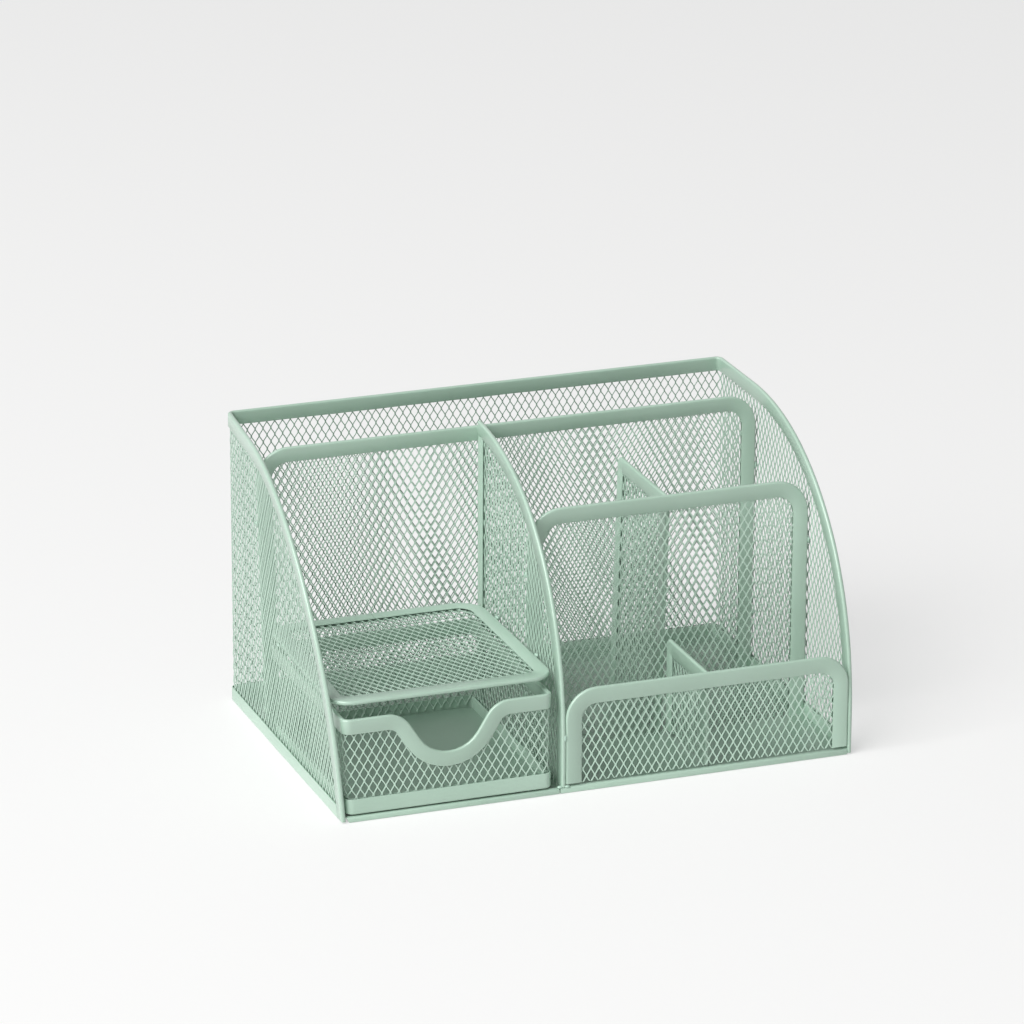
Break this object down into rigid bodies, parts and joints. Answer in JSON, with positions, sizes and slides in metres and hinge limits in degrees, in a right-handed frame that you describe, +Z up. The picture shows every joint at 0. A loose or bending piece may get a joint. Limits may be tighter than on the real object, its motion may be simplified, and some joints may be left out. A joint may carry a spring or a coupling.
{
  "type": "desk organiser",
  "caption": "Wire-mesh desk organiser with curved sides, letter slot, pen compartments, a small shelf and a sliding drawer with a finger cut-out.",
  "frame": {"origin": "centre of the 220 mm by 146 mm base, on the surface the organiser stands on; the left wall leans out past it only above the base", "axes": "+X to the organiser's right seen from its front, -Y out of the front, +Z up"},
  "size_m": [0.2273, 0.146, 0.127],
  "materials": {
    "coated_mesh": "satin powder coat on expanded metal",
    "coated_strip": "satin powder coat on folded strip",
    "coated_plate": "satin powder coat on flat sheet",
    "coated_weld": "satin powder coat over spot welds"
  },
  "bodies": {
    "stand": {"floor_plate": "coated_plate", "front_sill_left": "coated_strip", "front_sill_right": "coated_strip", "left_wall_mesh": "coated_mesh", "left_wall_rim": "coated_strip", "left_base_strip": "coated_strip", "back_wall_mesh": "coated_mesh", "back_wall_rim": "coated_strip", "back_base_strip": "coated_strip", "right_wall_mesh": "coated_mesh", "right_wall_rim": "coated_strip", "right_base_strip": "coated_strip", "rear_panel_mesh": "coated_mesh", "rear_panel_rim": "coated_strip", "middle_panel_mesh": "coated_mesh", "middle_panel_rim": "coated_strip", "front_panel_mesh": "coated_mesh", "front_panel_rim": "coated_strip", "centre_divider_mesh": "coated_mesh", "centre_divider_rim": "coated_strip", "centre_divider_back_strip": "coated_strip", "pen_divider_mesh": "coated_mesh", "pen_divider_rim": "coated_strip", "clip_divider_mesh": "coated_mesh", "clip_divider_rim": "coated_strip", "shelf_mesh": "coated_mesh", "shelf_rim": "coated_strip", "shelf_welds": "coated_weld", "panel_welds": "coated_weld"},
    "drawer": {"drawer_floor": "coated_plate", "drawer_front_mesh": "coated_mesh", "drawer_front_rim": "coated_strip", "drawer_front_skirt": "coated_strip", "drawer_left_mesh": "coated_mesh", "drawer_left_rim": "coated_strip", "drawer_left_skirt": "coated_strip", "drawer_right_mesh": "coated_mesh", "drawer_right_rim": "coated_strip", "drawer_right_skirt": "coated_strip", "drawer_back_mesh": "coated_mesh", "drawer_back_rim": "coated_strip", "drawer_back_skirt": "coated_strip"}
  },
  "joints": [
    {"name": "drawer_slide", "type": "slide", "parent": "stand", "child": "drawer", "axis": [0, -1, 0], "range_m": [0, 0.08]}
  ]
}
